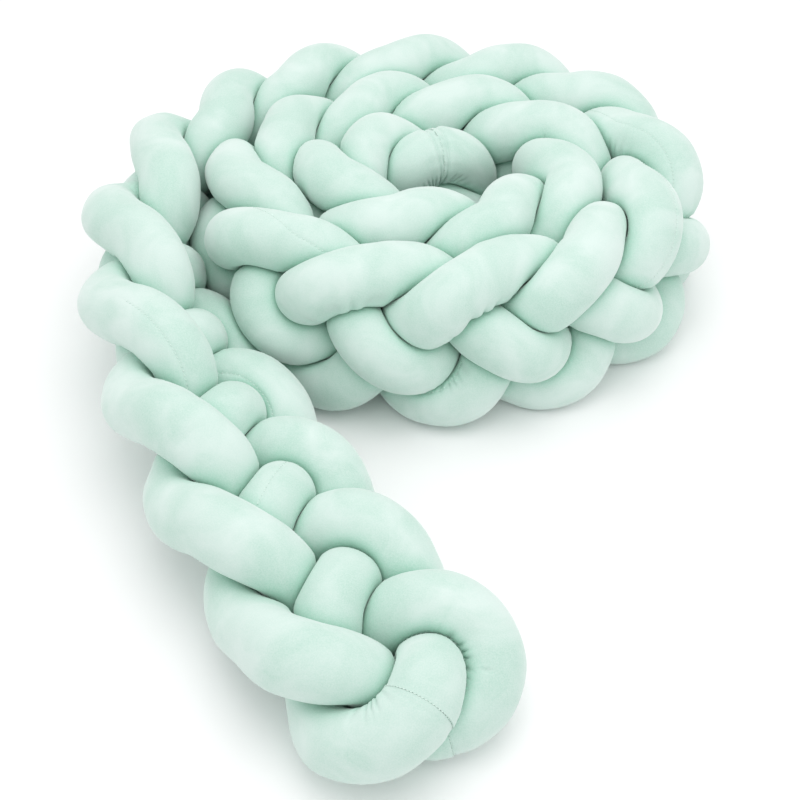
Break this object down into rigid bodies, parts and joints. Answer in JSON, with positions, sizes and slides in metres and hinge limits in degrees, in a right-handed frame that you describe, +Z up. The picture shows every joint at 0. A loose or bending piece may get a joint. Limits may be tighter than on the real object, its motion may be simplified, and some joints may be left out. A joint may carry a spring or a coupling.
{
  "type": "crib bumper",
  "caption": "Plaited crib bumper of four stuffed velvet tubes, lying as a flat arm that turns on to its edge and winds into an oval coil.",
  "frame": {"origin": "centre of the footprint of the whole plait as it lies, on the surface it rests on", "axes": "+Z up; +Y from the free arm end towards the coil; +X to the right of someone looking along +Y"},
  "size_m": [0.849, 1.2068, 0.2457],
  "materials": {
    "velvet": "short-pile crystal velvet, pale mint, matt with a soft lighter bloom where it turns away"
  },
  "bodies": {
    "root": {"tube_1": "velvet", "tube_2": "velvet", "tube_3": "velvet", "tube_4": "velvet"}
  },
  "joints": []
}
